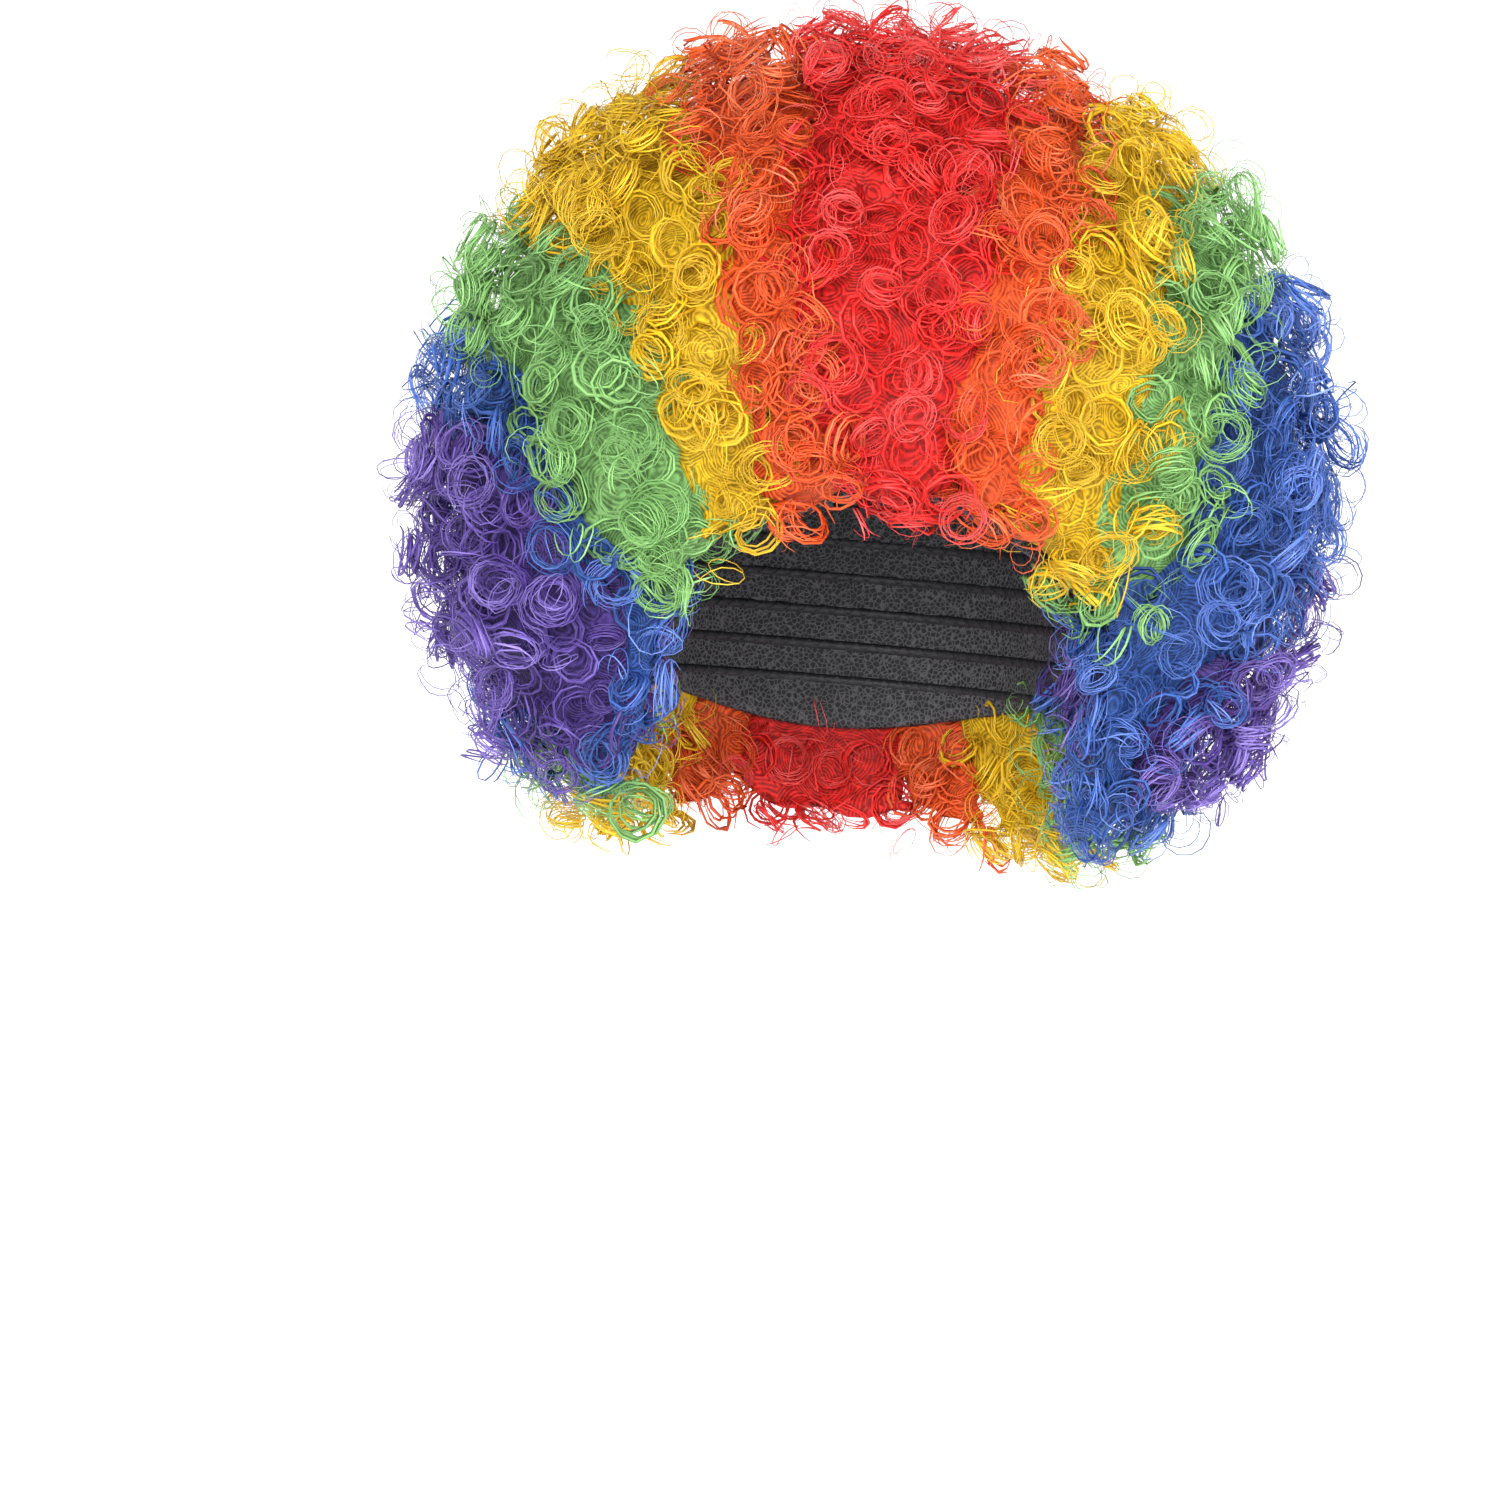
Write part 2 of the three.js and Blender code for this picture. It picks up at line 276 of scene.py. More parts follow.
class Graph:
    """Adds nodes to one tree and links them, in short calls."""

    def __init__(self, tree):
        self.tree = tree

    def add(self, kind, sockets=None, **settings):
        """A node with its settings, and its inputs linked or set by their identifiers."""
        node = self.tree.nodes.new(kind)
        for name, value in settings.items():
            setattr(node, name, value)
        for key, value in (sockets or {}).items():
            socket = next(s for s in node.inputs if s.identifier == key)
            if isinstance(value, bpy.types.NodeSocket):
                self.tree.links.new(value, socket)
            else:
                socket.default_value = value
        return node

    def math(self, operation, first, second=0.0):
        """The result of one sum."""
        node = self.add("ShaderNodeMath", {"Value": first, "Value_001": second}, operation=operation)
        return node.outputs[0]

    def between(self, value, from_low, from_high, to_low, to_high):
        """A value carried from one range to another and kept inside it."""
        ranges = {
            "Value": value,
            "From Min": from_low,
            "From Max": from_high,
            "To Min": to_low,
            "To Max": to_high,
        }
        return self.add("ShaderNodeMapRange", ranges).outputs[0]

    def vector(self, x=0.0, y=0.0, z=0.0):
        """A vector from three numbers."""
        return self.add("ShaderNodeCombineXYZ", {"X": x, "Y": y, "Z": z}).outputs[0]

    def vectors(self, operation, first, second=(0.0, 0.0, 0.0)):
        """The result of one sum of vectors."""
        sockets = {"Vector": first, "Vector_001": second}
        node = self.add("ShaderNodeVectorMath", sockets, operation=operation)
        return node.outputs["Value" if operation == "DOT_PRODUCT" else "Vector"]

    def scaled(self, vector, by):
        """A vector made longer or shorter."""
        sockets = {"Vector": vector, "Scale": by}
        return self.add("ShaderNodeVectorMath", sockets, operation="SCALE").outputs["Vector"]

    def random(self, least, most, seed, kind="FLOAT"):
        """A random number, or a random vector, for each element."""
        tail = {"FLOAT": "_001", "FLOAT_VECTOR": ""}[kind]
        sockets = {"Min" + tail: least, "Max" + tail: most, "Seed": seed}
        node = self.add("FunctionNodeRandomValue", sockets, data_type=kind)
        return next(s for s in node.outputs if s.identifier == "Value" + tail)

    def named(self, name, kind="FLOAT"):
        """An attribute that was stored before."""
        return self.add("GeometryNodeInputNamedAttribute", {"Name": name}, data_type=kind).outputs[0]

    def store(self, geometry, name, value, kind="FLOAT", domain="POINT"):
        """The geometry with a value kept on it under a name."""
        sockets = {"Geometry": geometry, "Name": name, "Value": value}
        node = self.add("GeometryNodeStoreNamedAttribute", sockets, data_type=kind, domain=domain)
        return node.outputs["Geometry"]

    def evened(self, vector, times, weight):
        """A vector on each point, evened out with those of the points beside it."""
        sockets = {"Value": vector, "Iterations": times, "Weight": weight}
        return self.add("GeometryNodeBlurAttribute", sockets, data_type="FLOAT_VECTOR").outputs[0]

    def moved(self, geometry, offset):
        """The geometry with its points moved."""
        return self.add("GeometryNodeSetPosition", {"Geometry": geometry, "Offset": offset}).outputs[0]

    def tube(self, curve, sides, width, thickness, scale=1.0):
        """A closed tube along a curve, wide to the side and thick upwards."""
        upright = self.add("GeometryNodeSetCurveNormal", {"Curve": curve}, mode="Z_UP").outputs[0]
        circle = self.add("GeometryNodeCurvePrimitiveCircle", {"Resolution": sides, "Radius": 1.0})
        across = self.add("GeometryNodeSplineParameter").outputs["Factor"]
        marked = self.store(circle.outputs[0], "across", across)
        flat = self.vector(x=width, y=thickness, z=1.0)
        profile = self.add("GeometryNodeTransform", {"Geometry": marked, "Scale": flat}).outputs[0]
        sockets = {"Curve": upright, "Profile Curve": profile, "Fill Caps": True, "Scale": scale}
        return self.add("GeometryNodeCurveToMesh", sockets).outputs[0]

    def joined(self, geometries):
        """Some geometries in one."""
        node = self.add("GeometryNodeJoinGeometry")
        for geometry in reversed(geometries):
            self.tree.links.new(geometry, node.inputs[0])
        return node.outputs[0]

    def dressed(self, geometry, material):
        """The geometry made real and smooth, in one material."""
        real = self.add("GeometryNodeRealizeInstances", {"Geometry": geometry}).outputs[0]
        smooth = self.add("GeometryNodeSetShadeSmooth", {"Geometry": real}).outputs[0]
        return self.add("GeometryNodeSetMaterial", {"Geometry": smooth, "Material": material}).outputs[0]

    def finished(self, geometry):
        """Hands a geometry to the tree's output."""
        output = self.add("NodeGroupOutput")
        self.tree.links.new(geometry, output.inputs[0])


def new_tree(name, sockets):
    """An empty geometry tree with its inputs, its output, and a graph to fill it."""
    tree = bpy.data.node_groups.new(name, "GeometryNodeTree")
    for socket_name, kind in sockets:
        tree.interface.new_socket(socket_name, in_out="INPUT", socket_type="NodeSocket" + kind)
    tree.interface.new_socket("Geometry", in_out="OUTPUT", socket_type="NodeSocketGeometry")
    return tree, Graph(tree)


def group_sizes(scene, groups):
    """The sizes in some groups of properties, each under its group's title and its own name."""
    sizes = {}
    for title, group in groups.items():
        settings = getattr(scene, group)
        for name in settings.__annotations__:
            sizes[title + " " + name.replace("_", " ")] = getattr(settings, name)
    return sizes


def size_sockets(sizes):
    """The tree inputs that take some sizes."""
    return [(name, "Int" if isinstance(value, int) else "Float") for name, value in sizes.items()]


def set_inputs(made, tree, values):
    """Gives an object the modifier that runs a tree, with the tree's inputs set."""
    modifier = made.modifiers.new(tree.name, "NODES")
    modifier.node_group = tree
    for socket in tree.interface.items_tree:
        if socket.name in values:
            modifier[socket.identifier] = values[socket.name]


def strand_tree():
    """The tree that scatters ringlets over a surface, each of a few curled strands."""
    tree, graph = new_tree("Strands", [
        ("Surface", "Geometry"),
        ("Seed", "Int"),
        ("Spacing", "Float"),
        ("Depth", "Float"),
        ("Aside", "Float"),
        ("Strands", "Int"),
        ("Radius", "Float"),
        ("Turns", "Float"),
        ("Steps", "Int"),
        ("Pitch", "Float"),
        ("Least Tilt", "Float"),
        ("Most Tilt", "Float"),
        ("Width", "Float"),
        ("Thickness", "Float"),
        ("Sides", "Int"),
        ("Taper", "Float"),
        ("Darkest", "Int"),
        ("Palest", "Int"),
        ("Wander", "Float"),
    ])
    given = graph.add("NodeGroupInput").outputs
    points = scatter_ringlets(graph, given)
    strands = curled_strands(graph, given, points, one_strand(graph, given))
    strands = graph.moved(strands, wandering(graph, given))
    graph.finished(mapped_strands(graph, strands))
    return tree


def draw(graph, given, offset, least, most, kind="FLOAT"):
    """A random draw from a tree's seed, apart from the tree's other draws by its offset."""
    return graph.random(least, most, graph.math("ADD", given["Seed"], float(offset)), kind)


def scatter_ringlets(graph, given):
    """A point for each ringlet, with the way that it faces, its size and its tone."""
    spacing = given["Spacing"]
    scatter = graph.add(
        "GeometryNodeDistributePointsOnFaces",
        {
            "Mesh": given["Surface"],
            "Distance Min": spacing,
            "Density Max": graph.math("DIVIDE", CROWDING, graph.math("MULTIPLY", spacing, spacing)),
            "Density Factor": graph.named(AIR),
            "Seed": given["Seed"],
        },
        distribute_method="POISSON",
    )
    normal = graph.scaled(graph.named(INWARD, "FLOAT_VECTOR"), -1.0)
    facing = graph.add("FunctionNodeAlignRotationToVector", {"Vector": normal}, axis="Z").outputs[0]
    lean = graph.vector(
        x=draw(graph, given, 1, given["Least Tilt"], given["Most Tilt"]),
        z=draw(graph, given, 2, 0.0, math.tau),
    )
    points = graph.store(scatter.outputs["Points"], "ring_way", turned(graph, facing, lean), "QUATERNION")
    points = graph.store(points, "ring_size", draw(graph, given, 3, *RING_SIZES))
    points = graph.store(points, "ring_loose", draw(graph, given, 12, *RING_LOOSENESS))
    points = graph.store(points, "ring_rise", draw(graph, given, 13, *RING_RISES))
    palest = graph.math("SUBTRACT", given["Palest"], float(SWATCH_SPREAD))
    points = graph.store(points, "ring_swatch", draw(graph, given, 4, given["Darkest"], palest))
    depth = graph.math("MINIMUM", given["Depth"], graph.math("MULTIPLY", graph.named(ROOM), 0.5))
    sunk = graph.scaled(graph.named(INWARD, "FLOAT_VECTOR"), depth)
    stray = draw(graph, given, 5, (-1.0,) * 3, (1.0,) * 3, "FLOAT_VECTOR")
    outward = graph.vectors("DOT_PRODUCT", stray, normal)
    flatter = graph.scaled(normal, graph.math("MULTIPLY", outward, -FLATNESS))
    aside = graph.scaled(graph.vectors("ADD", stray, flatter), given["Aside"])
    return graph.moved(points, graph.vectors("ADD", graph.vectors("ADD", sunk, aside), swerve(graph)))


def turned(graph, rotation, euler):
    """A rotation turned further about its own axes."""
    by = graph.add("FunctionNodeEulerToRotation", {"Euler": euler}).outputs[0]
    sockets = {"Rotation": rotation, "Rotate By": by}
    return graph.add("FunctionNodeRotateRotation", sockets, rotation_space="LOCAL").outputs[0]


def one_strand(graph, given):
    """One curled strand as a closed tube that tapers to both ends."""
    spiral = graph.add(
        "GeometryNodeCurveSpiral",
        {
            "Resolution": given["Steps"],
            "Rotations": given["Turns"],
            "Start Radius": given["Radius"],
            "End Radius": graph.math("MULTIPLY", given["Radius"], STRAND_CLOSING),
            "Height": given["Pitch"],
        },
    ).outputs[0]
    along = graph.add("GeometryNodeSplineParameter").outputs["Factor"]
    to_end = graph.math("MINIMUM", along, graph.math("SUBTRACT", 1.0, along))
    taper = graph.between(to_end, 0.0, given["Taper"], STRAND_TIP, 1.0)
    curve = graph.store(spiral, "along", along)
    return graph.tube(curve, given["Sides"], given["Width"], given["Thickness"], taper)


def curled_strands(graph, given, points, strand):
    """The strands of every ringlet side by side, each with its own turn, size and swatch."""
    copies = {"Geometry": points, "Amount": given["Strands"]}
    copied = graph.add("GeometryNodeDuplicateElements", copies, domain="POINT")
    places, number = copied.outputs
    loose = graph.named("ring_loose")
    shift = draw(graph, given, 6, (-STRAND_SHIFT,) * 3, (STRAND_SHIFT,) * 3, "FLOAT_VECTOR")
    places = graph.moved(places, graph.scaled(shift, graph.math("MULTIPLY", given["Radius"], loose)))
    least = (-STRAND_LEAN, -STRAND_LEAN, 0.0)
    most = (STRAND_LEAN, STRAND_LEAN, math.tau)
    lean = draw(graph, given, 7, least, most, "FLOAT_VECTOR")
    sway = graph.vectors("MULTIPLY", lean, graph.vector(x=loose, y=loose, z=1.0))
    turn = graph.math("ADD", number, draw(graph, given, 8, 0.0, 1.0))
    share = graph.between(graph.math("DIVIDE", turn, given["Strands"]), 0.0, 1.0, *STRAND_SIZES)
    size = graph.math("MULTIPLY", graph.named("ring_size"), share)
    rise = graph.math("MULTIPLY", graph.named("ring_rise"), draw(graph, given, 9, *STRAND_RISES))
    strands = graph.add(
        "GeometryNodeInstanceOnPoints",
        {
            "Points": places,
            "Instance": strand,
            "Rotation": turned(graph, graph.named("ring_way", "QUATERNION"), sway),
            "Scale": graph.vector(x=size, y=size, z=rise),
        },
    ).outputs[0]
    spread = draw(graph, given, 10, 0.0, float(SWATCH_SPREAD))
    swatch = graph.math("FLOOR", graph.math("ADD", graph.named("ring_swatch"), spread))
    strands = graph.store(strands, "swatch", swatch, domain="INSTANCE")
    strands = graph.store(strands, "strand", draw(graph, given, 11, 0.0, 90.0), domain="INSTANCE")
    return graph.add("GeometryNodeRealizeInstances", {"Geometry": strands}).outputs[0]


def wandering(graph, given):
    """How far each point of a strand strays: with its ringlet, and by itself."""
    together = graph.add("ShaderNodeTexNoise", {"Scale": RINGLET_SWELLS, "Detail": 1.0})
    alone = graph.add(
        "ShaderNodeTexNoise",
        {"W": graph.named("strand"), "Scale": STRAND_SWELLS, "Detail": 1.0},
        noise_dimensions="4D",
    )
    half = (0.5, 0.5, 0.5)
    shared = graph.vectors("SUBTRACT", together.outputs["Color"], half)
    own = graph.scaled(graph.vectors("SUBTRACT", alone.outputs["Color"], half), 0.5)
    reach = graph.math("MULTIPLY", given["Wander"], 2.0)
    return graph.scaled(graph.vectors("ADD", shared, own), reach)


def mapped_strands(graph, strands):
    """The strands with their place on the bake map."""
    column = graph.math("ADD", graph.named("swatch"), SWATCH_MARGIN)
    inside = graph.math("MULTIPLY", graph.named("across"), 1.0 - 2.0 * SWATCH_MARGIN)
    place = graph.vector(
        x=graph.math("DIVIDE", graph.math("ADD", column, inside), 2.0 * SWATCHES),
        y=graph.between(graph.named("along"), 0.0, 1.0, 0.02, 0.98),
    )
    return graph.store(strands, BAKE_MAP, place, "FLOAT2", "CORNER")


def band_tree(strands, sizes):
    """The tree that turns a band's outer form into its undercoat, ringlets and loose hairs."""
    tree, graph = new_tree("Band of hair", [
        ("Surface", "Geometry"),
        ("Seed", "Int"),
        *size_sockets(sizes),
        ("Fibre", "Material"),
        ("Undercoat", "Material"),
    ])
    given = graph.add("NodeGroupInput").outputs
    rings = ringlets(given)
    fibre = graph.joined([
        layer(graph, strands, rings),
        layer(graph, strands, inner_ringlets(graph, given, rings)),
        layer(graph, strands, frizz(graph, given, rings)),
        layer(graph, strands, stray_loops(graph, given, rings)),
    ])
    dyed = graph.dressed(fibre, given["Fibre"])
    mass = graph.dressed(undercoat(graph, given), given["Undercoat"])
    graph.finished(graph.joined([mass, dyed]))
    return tree


def ringlets(given):
    """The ringlets, of thin strands side by side."""
    return {
        "Surface": given["Surface"],
        "Seed": given["Seed"],
        "Spacing": given["Ringlet spacing"],
        "Depth": given["Ringlet depth"],
        "Aside": given["Ringlet aside"],
        "Strands": given["Ringlet strands"],
        "Radius": given["Ringlet radius"],
        "Turns": given["Ringlet turns"],
        "Steps": given["Ringlet steps"],
        "Pitch": given["Ringlet pitch"],
        "Least Tilt": 0.0,
        "Most Tilt": given["Ringlet tilt"],
        "Width": given["Ringlet width"],
        "Thickness": given["Ringlet width"],
        "Sides": 3,
        "Taper": 0.15,
        # Only the paler swatches: the outer strands are painted lighter than those further in, as painted
        # light
        "Darkest": 2,
        "Palest": SWATCHES,
        "Wander": given["Ringlet wander"],
    }


def inner_ringlets(graph, given, rings):
    """The ringlets further in, of flat strands, given the darker swatches as painted shade."""
    return dict(
        rings,
        **{
            "Seed": graph.math("ADD", given["Seed"], INNER_SEED),
            "Spacing": given["Inner spacing"],
            "Depth": given["Inner depth"],
            "Aside": given["Inner aside"],
            "Strands": given["Inner strands"],
            "Radius": given["Inner radius"],
            "Steps": given["Inner steps"],
            "Most Tilt": given["Inner tilt"],
            "Width": given["Inner width"],
            "Thickness": given["Inner thickness"],
            "Taper": 0.3,
            # Only the darker swatches, as painted shade on the ringlets that lie further in
            "Darkest": 0,
            "Palest": SWATCHES - 3,
        },
    )


def frizz(graph, given, rings):
    """The single hairs that cross every way between the ringlets."""
    return dict(
        rings,
        **{
            "Seed": graph.math("ADD", given["Seed"], FRIZZ_SEED),
            "Spacing": given["Fuzz frizz spacing"],
            "Strands": 1,
            "Turns": 0.8,
            "Most Tilt": math.pi,
            "Width": given["Fuzz width"],
            "Thickness": given["Fuzz width"],
            "Wander": graph.math("MULTIPLY", given["Ringlet wander"], 2.0),
        },
    )


def stray_loops(graph, given, rings):
    """The thin loops that stand off the outer form."""
    return dict(
        rings,
        **{
            "Seed": graph.math("ADD", given["Seed"], STRAY_SEED),
            "Spacing": given["Fuzz stray spacing"],
            "Depth": graph.math("MULTIPLY", given["Fuzz stray lift"], -1.0),
            "Aside": 0.0,
            "Strands": 2,
            "Radius": graph.math("MULTIPLY", given["Ringlet radius"], 0.9),
            "Least Tilt": math.radians(50),
            "Most Tilt": math.radians(95),
            "Width": given["Fuzz width"],
            "Thickness": given["Fuzz width"],
        },
    )


def layer(graph, strands, settings):
    """One layer of strands, from the tree of strands with its inputs set."""
    node = graph.add("GeometryNodeGroup", node_tree=strands)
    for name, value in settings.items():
        if isinstance(value, bpy.types.NodeSocket):
            graph.tree.links.new(value, node.inputs[name])
        else:
            node.inputs[name].default_value = value
    return node.outputs[0]


def undercoat(graph, given):
    """The soft lumpy mass under the ringlets, sunk below the outer form."""
    lumps = graph.add("ShaderNodeTexNoise", {"Scale": LUMP_SWELLS, "Detail": 2.0}).outputs["Fac"]
    swell = graph.between(lumps, 0.3, 0.7, 0.7, 1.3)
    wanted = graph.math("MULTIPLY", given["Fuzz inset"], swell)
    deeper = graph.math("MINIMUM", graph.math("SUBTRACT", wanted, graph.named(COVER)), graph.named(ROOM))
    sink = graph.math("MAXIMUM", deeper, 0.0)
    inside = graph.math("LESS_THAN", graph.named(COVER), SEAM_DEPTH)
    walls = graph.math("MULTIPLY", inside, graph.math("SUBTRACT", 1.0, graph.named(AIR)))
    normal = graph.add("GeometryNodeInputNormal").outputs[0]
    closed = graph.scaled(normal, graph.math("MULTIPLY", walls, SEAM_SWELL))
    sunk = graph.scaled(graph.evened(graph.named(INWARD, "FLOAT_VECTOR"), 2 * EVENING, 1.0), sink)
    offset = graph.vectors("ADD", graph.vectors("ADD", closed, sunk), swerve(graph))
    thick = graph.math("MULTIPLY", given["Fuzz inset"], 1.4)
    thin = graph.between(graph.math("DIVIDE", graph.named(ROOM), thick), 0.4, 1.0, 1.0, 0.05)
    mass = graph.moved(given["Surface"], graph.evened(offset, EVENING, thin))
    return graph.store(mass, BAKE_MAP, undercoat_place(graph), "FLOAT2", "CORNER")


def swerve(graph):
    """How far the hair moves along the outer form, so that the seams between bands swerve."""
    bend = graph.add("ShaderNodeTexNoise", {"Scale": SWERVE_SWELLS, "Detail": 1.0}).outputs["Color"]
    every_way = graph.vectors("SUBTRACT", bend, (0.5, 0.5, 0.5))
    inward = graph.named(INWARD, "FLOAT_VECTOR")
    along = graph.vectors("SUBTRACT", every_way, graph.vectors("PROJECT", every_way, inward))
    clear = graph.between(graph.named(ROOM), 0.2 * SEAM_DEPTH, 0.7 * SEAM_DEPTH, 0.0, 2.0 * SEAM_SWERVE)
    near = graph.between(graph.named(COVER), SEAM_DEPTH / 3, SEAM_DEPTH, 1.0, 0.0)
    return graph.scaled(along, graph.math("MULTIPLY", clear, near))


def undercoat_place(graph):
    """Where the undercoat lies on the bake map: by its bearing and its height."""
    position = graph.add("GeometryNodeInputPosition").outputs[0]
    split = graph.add("ShaderNodeSeparateXYZ", {"Vector": position})
    bearing = graph.math("ARCTAN2", split.outputs["X"], split.outputs["Y"])
    low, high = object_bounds()
    return graph.vector(
        x=graph.between(bearing, -math.pi, math.pi, 0.51, 0.99),
        y=graph.between(split.outputs["Z"], low[2], high[2], 0.02, 0.98),
    )


def new_material(name):
    """An empty material with a graph to fill it, and its shader."""
    material = bpy.data.materials.new(name)
    material.use_nodes = True
    return material, Graph(material.node_tree), material.node_tree.nodes["Principled BSDF"]


def hair_materials(colours):
    """The fibre and the undercoat of each colour, under the colour's name."""
    materials = {}
    for name in COLOURS:
        base = tuple(getattr(colours, name))
        materials[name] = {
            "Fibre": fibre_material("fibre_" + name, base),
            "Undercoat": undercoat_material("undercoat_" + name, base),
        }
    return materials


def fibre_material(name, base):
    """Satin curled fibre: fine hairs side by side, each swatch with its own tone, the darkest as painted
    shade and the palest, mixed towards white, as painted highlights.
    """
    material, graph, shader = new_material(name)
    place = graph.add("ShaderNodeUVMap", uv_map=BAKE_MAP).outputs[0]
    split = graph.add("ShaderNodeSeparateXYZ", {"Vector": place})
    columns = graph.math("MULTIPLY", split.outputs["X"], 2.0 * SWATCHES)
    column = graph.math("FLOOR", columns)
    hairs = graph.vector(
        x=graph.math("MULTIPLY", graph.math("FRACT", columns), HAIRS_ACROSS),
        y=graph.math("MULTIPLY", split.outputs["Y"], CHANGES_ALONG),
        z=graph.math("MULTIPLY", column, SWATCH_STEP),
    )
    grain = graph.add("ShaderNodeTexNoise", {"Vector": hairs, "Scale": 1.0, "Detail": 2.0}).outputs["Fac"]
    # The tone of the swatch (drawn darker further in as painted shade, paler on the outer ringlets as
    # painted light), mixed with the grain of the hairs
    tone = graph.math("DIVIDE", column, float(SWATCHES - 1))
    light = graph.math("ADD", graph.math("MULTIPLY", tone, 0.5), graph.math("MULTIPLY", grain, 0.5))
    painted_contrast = painted_contrast_of(base)
    # The dark stop is painted shade; the pale stop, brighter than the dye and mixed with white, is a
    # painted highlight. Both grow stronger for deep dyes.
    dark = 0.76 - 0.42 * painted_contrast
    pale = 1.3 + 1.75 * painted_contrast
    highlight_white = 0.04 + 0.2 * painted_contrast
    paint(graph, shader, light, [
        (0.25, shade(base, dark, 0.0)),
        (0.5, shade(base, 1.1, 0.0)),
        (0.75, shade(base, pale, highlight_white)),
    ])
    roughen(graph, shader, grain, 0.7, 0.6 * MM)
    shader.inputs["Roughness"].default_value = 0.4
    shader.inputs["Specular IOR Level"].default_value = 0.4
    return material


def undercoat_material(name, base):
    """The matted fibre under the ringlets, painted darker as shade under them, with fine hairs every way.
    """
    material, graph, shader = new_material(name)
    place = graph.add("ShaderNodeTexCoord").outputs["Object"]
    noise = graph.add("ShaderNodeTexNoise", {"Vector": place, "Scale": BEND_SWELLS, "Detail": 0.0})
    bent = graph.vectors("ADD", place, graph.scaled(noise.outputs["Color"], BEND_REACH))
    whorl = graph.add("ShaderNodeTexVoronoi", {"Vector": bent, "Scale": WHORLS}).outputs["Distance"]
    lines = graph.math("SINE", graph.math("MULTIPLY", whorl, WHORL_LINES))
    fluff = graph.add("ShaderNodeTexNoise", {"Vector": bent, "Scale": FLUFF_SWELLS, "Detail": 2.0})
    hairs = graph.math("ADD", fluff.outputs["Fac"], graph.math("MULTIPLY", lines, WHORL_STRENGTH))
    painted_contrast = painted_contrast_of(base)
    # The undercoat is painted darker than the fibre, as painted shade under the ringlets, and darker
    # still for deep dyes.
    dark = 0.34 - 0.26 * painted_contrast
    pale = 0.95 - 0.3 * painted_contrast
    paint(graph, shader, hairs, [(0.3, shade(base, dark, 0.0)), (0.75, shade(base, pale, 0.0))])
    roughen(graph, shader, hairs, 0.8, 0.6 * MM)
    shader.inputs["Roughness"].default_value = 0.6
    shader.inputs["Specular IOR Level"].default_value = 0.25
    return material


def painted_contrast_of(base):
    """How strong a dye's painted shade and painted highlights are: from 0 for a pale dye towards 1 for a
    deep one.
    """
    brightness = 0.21 * base[0] + 0.72 * base[1] + 0.07 * base[2]
    return max(0.0, 1.0 - 2.0 * brightness) ** 2


def shade(base, bright, white):
    """A colour made darker or brighter, and then mixed with white."""
    return tuple(min(1.0, c * bright) * (1.0 - white) + white for c in base) + (1.0,)


def paint(graph, shader, value, stops):
    """Colours a shader by a value, through a ramp of colours."""
    ramp = graph.add("ShaderNodeValToRGB", {"Fac": value})
    set_ramp(ramp.color_ramp, stops)
    graph.tree.links.new(ramp.outputs["Color"], shader.inputs["Base Color"])


def roughen(graph, shader, height, strength, distance):
    """Gives a shader a fine relief."""
    bump = graph.add("ShaderNodeBump", {"Height": height, "Strength": strength, "Distance": distance})
    graph.tree.links.new(bump.outputs["Normal"], shader.inputs["Normal"])


def set_ramp(ramp, stops):
    """Sets the stops of a colour ramp."""
    while len(ramp.elements) < len(stops):
        ramp.elements.new(0.5)
    for element, (position, rgba) in zip(ramp.elements, stops):
        element.position = position
        element.color = rgba


def merged_copy(node):
    """A copy of a node's mesh with its loose triangles joined."""
    mesh = bpy.data.meshes.new(node + "_joined")
    bm = bmesh.new()
    bm.from_mesh(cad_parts[node].data)
    bmesh.ops.remove_doubles(bm, verts=bm.verts, dist=0.01 * MM)
    bm.to_mesh(mesh)
    bm.free()
    return mesh


def new_object(name, mesh):
    """An object at the origin that shows a mesh."""
    made = bpy.data.objects.new(name, mesh)
    bpy.context.scene.collection.objects.link(made)
    return made


def applied(made):
    """The object with its modifiers turned into a plain mesh."""
    graph = bpy.context.evaluated_depsgraph_get()
    mesh = bpy.data.meshes.new_from_object(made.evaluated_get(graph))
    made.modifiers.clear()
    made.data = mesh
    mesh.name = made.name
    for number in reversed(range(len(mesh.materials))):
        if mesh.materials[number] is None:
            mesh.materials.pop(index=number)
    return made


def solid_surface(name, node, grain):
    """An object with the outer form of a node in even faces."""
    made = new_object(name, merged_copy(node))
    remesh = made.modifiers.new("Even faces", "REMESH")
    remesh.mode = "VOXEL"
    remesh.voxel_size = grain
    return applied(made)


def search_tree(meshes):
    """A search tree of all faces of some meshes."""
    vertices = []
    faces = []
    for mesh in meshes:
        start = len(vertices)
        vertices.extend(v.co for v in mesh.vertices)
        faces.extend([start + i for i in p.vertices] for p in mesh.polygons)
    return BVHTree.FromPolygons(vertices, faces)


def outside_of_hair():
    """A search tree of the faces of all bands that no other piece covers."""
    everything = search_tree([node.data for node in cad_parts.values()])
    open_faces = []
    for node in HAIR_NODES:
        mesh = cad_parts[node].data
        for face in mesh.polygons:
            start = face.center + face.normal * 0.05 * MM
            if everything.ray_cast(start, face.normal, LOOK_AHEAD)[0] is None:
                open_faces.append([mesh.vertices[i].co for i in face.vertices])
    corners = [corner for face in open_faces for corner in face]
    return BVHTree.FromPolygons(corners, [(i, i + 1, i + 2) for i in range(0, len(corners), 3)])


